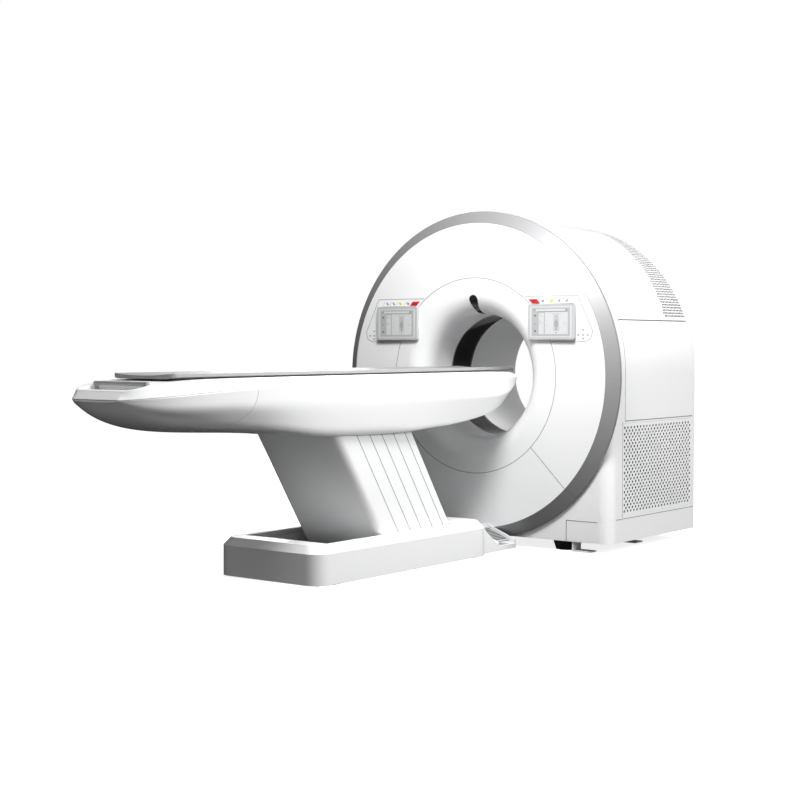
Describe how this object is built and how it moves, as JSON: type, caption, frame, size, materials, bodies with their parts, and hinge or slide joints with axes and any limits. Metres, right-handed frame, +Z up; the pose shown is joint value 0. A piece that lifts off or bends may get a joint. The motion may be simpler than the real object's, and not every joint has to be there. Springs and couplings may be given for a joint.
{
  "type": "computed tomography scanner",
  "caption": "Ring-shaped CT scanner gantry with a flared bore and rotating inner drum, and a patient table on a leaning parallelogram lift with a sliding cradle.",
  "frame": {"origin": "on the floor, plumb below the point where the bore axis meets the scan plane; centre of the gantry's floor anchor holes", "axes": "+X across the table to the right seen from the table side, +Y through the bore from the table side to the rear, +Z up"},
  "size_m": [1.8998, 3.8823, 1.9299],
  "materials": {
    "white_cover": "satin moulded white",
    "white_paint": "satin white powder coat",
    "silver_rim": "satin silver",
    "window_black": "gloss black film",
    "trim_white": "gloss white",
    "steel": "machined",
    "frame_paint": "grey primer",
    "alloy": "machined",
    "copper": "drawn",
    "black_plastic": "matte",
    "screen_glass": "lit screen",
    "display_frame": "satin silver grey",
    "panel_film": "printed membrane",
    "key_red": "gloss red",
    "foot_rubber": "matte black",
    "pedal_grey": "satin grey",
    "cradle_grey": "carbon fibre laminate, grey gel coat"
  },
  "bodies": {
    "gantry_and_base": {"rim_ring": "silver_rim", "front_cover_upper": "white_cover", "front_cover_lower": "white_cover", "funnel_upper": "white_cover", "funnel_lower": "white_cover", "control_panel_right": "panel_film", "control_panel_left": "panel_film", "display_right": "display_frame", "display_left": "display_frame", "display_glasses": "screen_glass", "guide_light_window": "window_black", "scan_window": "window_black", "window_trim_rings": "trim_white", "bore_liner": "white_cover", "access_panels": "white_cover", "plinth_cover": "white_cover", "side_cover_right": "white_cover", "side_cover_left": "white_cover", "top_cover": "white_cover", "side_grille_right": "white_paint", "side_grille_left": "white_paint", "rear_cover": "white_cover", "base_frame": "frame_paint", "levelling_feet": "foot_rubber", "stationary_frame": "frame_paint", "bearing_outer_race": "steel", "brush_block": "black_plastic", "drive_stator": "copper", "base_shell": "white_cover", "base_plate": "frame_paint", "lift_gearmotor": "black_plastic", "pedal_unit": "white_cover"},
    "rotor": {"bearing_inner_race": "steel", "slip_ring": "copper", "rotor_drum": "alloy", "x_ray_tube": "steel", "collimator": "alloy", "generator": "frame_paint", "detector_arc": "black_plastic"},
    "stop_key_right": {"stop_key_right": "key_red"},
    "stop_key_left": {"stop_key_left": "key_red"},
    "door_right": {"side_door_right": "white_cover"},
    "door_left": {"side_door_left": "white_cover"},
    "pedal_right": {"foot_pedal_right": "pedal_grey"},
    "pedal_left": {"foot_pedal_left": "pedal_grey"},
    "front_link": {"lift_arm_front": "frame_paint", "pedestal_front_cover": "white_cover"},
    "rear_link": {"lift_arm_rear": "frame_paint", "pedestal_rear_cover": "white_cover"},
    "slat_1": {"side_slats_1": "white_paint"},
    "slat_2": {"side_slats_2": "white_paint"},
    "slat_3": {"side_slats_3": "white_paint"},
    "slat_4": {"side_slats_4": "white_paint"},
    "table_top": {"hull_tail": "white_cover", "hull_body": "white_cover", "top_deck": "white_cover", "tail_handle": "pedal_grey", "table_frame": "frame_paint"},
    "cradle": {"cradle": "cradle_grey"}
  },
  "joints": [
    {"name": "rotor_spin", "type": "hinge", "parent": "gantry_and_base", "child": "rotor", "pos_m": [0, 0, 0.98], "axis": [0, 1, 0], "continuous": true},
    {"name": "lift", "type": "hinge", "parent": "gantry_and_base", "child": "front_link", "pos_m": [0, -1.045, 0.085], "axis": [-1, 0, 0], "range_deg": [-25, 0]},
    {"name": "table_level", "type": "hinge", "parent": "front_link", "child": "table_top", "pos_m": [0, -1.53855, 0.845], "axis": [-1, 0, 0], "range_deg": [0, 25]},
    {"name": "rear_link_turn", "type": "hinge", "parent": "gantry_and_base", "child": "rear_link", "pos_m": [0, -1.416, 0.085], "axis": [-1, 0, 0], "range_deg": [-25, 0]},
    {"name": "slat_1_turn", "type": "hinge", "parent": "gantry_and_base", "child": "slat_1", "pos_m": [0, -1.301, 0.085], "axis": [-1, 0, 0], "range_deg": [-25, 0]},
    {"name": "slat_2_turn", "type": "hinge", "parent": "gantry_and_base", "child": "slat_2", "pos_m": [0, -1.203, 0.085], "axis": [-1, 0, 0], "range_deg": [-25, 0]},
    {"name": "slat_3_turn", "type": "hinge", "parent": "gantry_and_base", "child": "slat_3", "pos_m": [0, -1.105, 0.085], "axis": [-1, 0, 0], "range_deg": [-25, 0]},
    {"name": "slat_4_turn", "type": "hinge", "parent": "gantry_and_base", "child": "slat_4", "pos_m": [0, -1.007, 0.085], "axis": [-1, 0, 0], "range_deg": [-25, 0]},
    {"name": "cradle_slide", "type": "slide", "parent": "table_top", "child": "cradle", "axis": [0, 1, 0], "range_m": [0, 1.6]},
    {"name": "door_right_hinge", "type": "hinge", "parent": "gantry_and_base", "child": "door_right", "pos_m": [0.876, 0.655, 1], "axis": [0, 0, 1], "range_deg": [0, 100]},
    {"name": "door_left_hinge", "type": "hinge", "parent": "gantry_and_base", "child": "door_left", "pos_m": [-0.876, 0.655, 1], "axis": [0, 0, -1], "range_deg": [0, 100]},
    {"name": "stop_key_right_push", "type": "slide", "parent": "gantry_and_base", "child": "stop_key_right", "axis": [0, 1, 0], "range_m": [0, 0.003], "stiffness_N_per_m": 800},
    {"name": "stop_key_left_push", "type": "slide", "parent": "gantry_and_base", "child": "stop_key_left", "axis": [0, 1, 0], "range_m": [0, 0.003], "stiffness_N_per_m": 800},
    {"name": "pedal_right_press", "type": "hinge", "parent": "gantry_and_base", "child": "pedal_right", "pos_m": [0.136, -0.485, 0.107], "axis": [0, 1, 0], "range_deg": [0, 3], "stiffness_Nm_per_rad": 60},
    {"name": "pedal_left_press", "type": "hinge", "parent": "gantry_and_base", "child": "pedal_left", "pos_m": [-0.136, -0.485, 0.107], "axis": [0, -1, 0], "range_deg": [0, 3], "stiffness_Nm_per_rad": 60}
  ],
  "couplings": [
    {"joint": "table_level", "follows": "lift", "ratio": -1},
    {"joint": "rear_link_turn", "follows": "lift", "ratio": 1},
    {"joint": "slat_1_turn", "follows": "lift", "ratio": 1},
    {"joint": "slat_2_turn", "follows": "lift", "ratio": 1},
    {"joint": "slat_3_turn", "follows": "lift", "ratio": 1},
    {"joint": "slat_4_turn", "follows": "lift", "ratio": 1}
  ]
}
